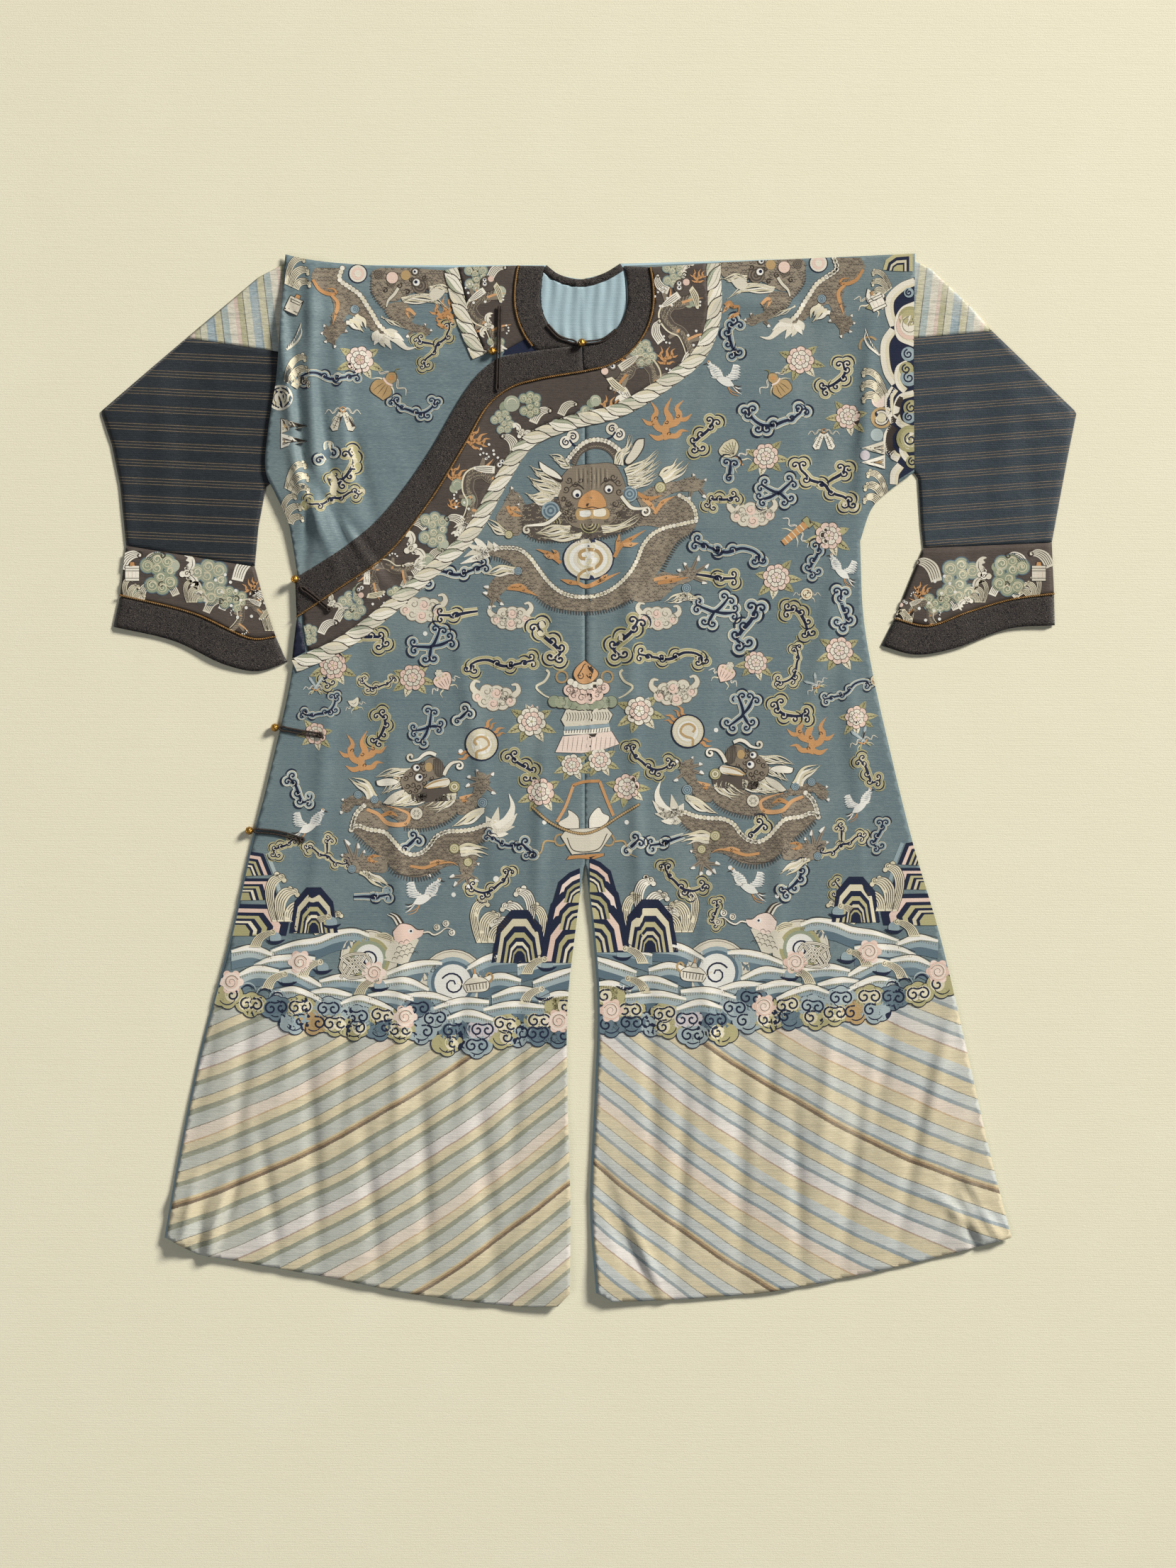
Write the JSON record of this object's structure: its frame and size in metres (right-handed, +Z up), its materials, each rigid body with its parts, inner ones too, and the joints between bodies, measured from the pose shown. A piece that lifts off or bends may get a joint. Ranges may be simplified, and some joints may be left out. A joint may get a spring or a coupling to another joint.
{
  "type": "silk tapestry dragon robe laid flat",
  "caption": "Full-length side-closing silk tapestry robe with folded-down sleeves, laid flat with its front up, with brocade collar, rope-edged border and ball buttons.",
  "frame": {"origin": "middle of the box around the laid robe, on the surface it lies on", "axes": "+Z up from the surface, +Y from the hem to the neck, +X to the right of a person who looks down at the robe's front"},
  "size_m": [1.298, 1.4, 0.0197],
  "materials": {
    "tapestry_silk": "slate blue silk tapestry weave with coloured motifs and a soft sheen",
    "lining_silk": "light blue plain silk",
    "brocade": "dark brown metal-thread brocade with a fine squiggle ground",
    "brown_tapestry": "brown silk tapestry weave with small coloured motifs",
    "rope_tapestry": "cream and pale green silk woven as a twisted rope",
    "navy_silk": "navy silk satin",
    "sleeve_silk": "dark blue ribbed silk with thin gold-thread lines",
    "gold_cord": "twisted gold-thread cord",
    "loop_cloth": "dark brown corded silk loops",
    "gilt_brass": "worn gilt brass, chased"
  },
  "bodies": {
    "root": {"back_left": "lining_silk", "back_right": "lining_silk", "under_front": "tapestry_silk", "overlap_front": "tapestry_silk", "right_front": "tapestry_silk", "neck_lining": "lining_silk", "back_collar": "brocade", "collar_left": "brocade", "collar_right": "brocade", "overlap_binding": "brocade", "overlap_border": "brown_tapestry", "overlap_rope": "rope_tapestry", "under_border": "brown_tapestry", "under_rope": "rope_tapestry", "side_facing": "navy_silk", "collar_cord": "gold_cord", "binding_cord": "gold_cord", "sleeve_left_fold": "tapestry_silk", "sleeve_left_extension": "sleeve_silk", "sleeve_left_band": "brown_tapestry", "sleeve_left_cuff": "brocade", "sleeve_left_cord": "gold_cord", "sleeve_right_fold": "tapestry_silk", "sleeve_right_extension": "sleeve_silk", "sleeve_right_band": "brown_tapestry", "sleeve_right_cuff": "brocade", "sleeve_right_cord": "gold_cord", "button_neck": "gilt_brass", "button_collarbone": "gilt_brass", "button_armpit": "gilt_brass", "button_side_upper": "gilt_brass", "button_side_lower": "gilt_brass", "loop_neck_left": "loop_cloth", "loop_neck_right": "loop_cloth", "loop_collarbone": "loop_cloth", "loop_armpit": "loop_cloth", "loop_side_upper": "loop_cloth", "loop_side_lower": "loop_cloth"}
  },
  "joints": []
}
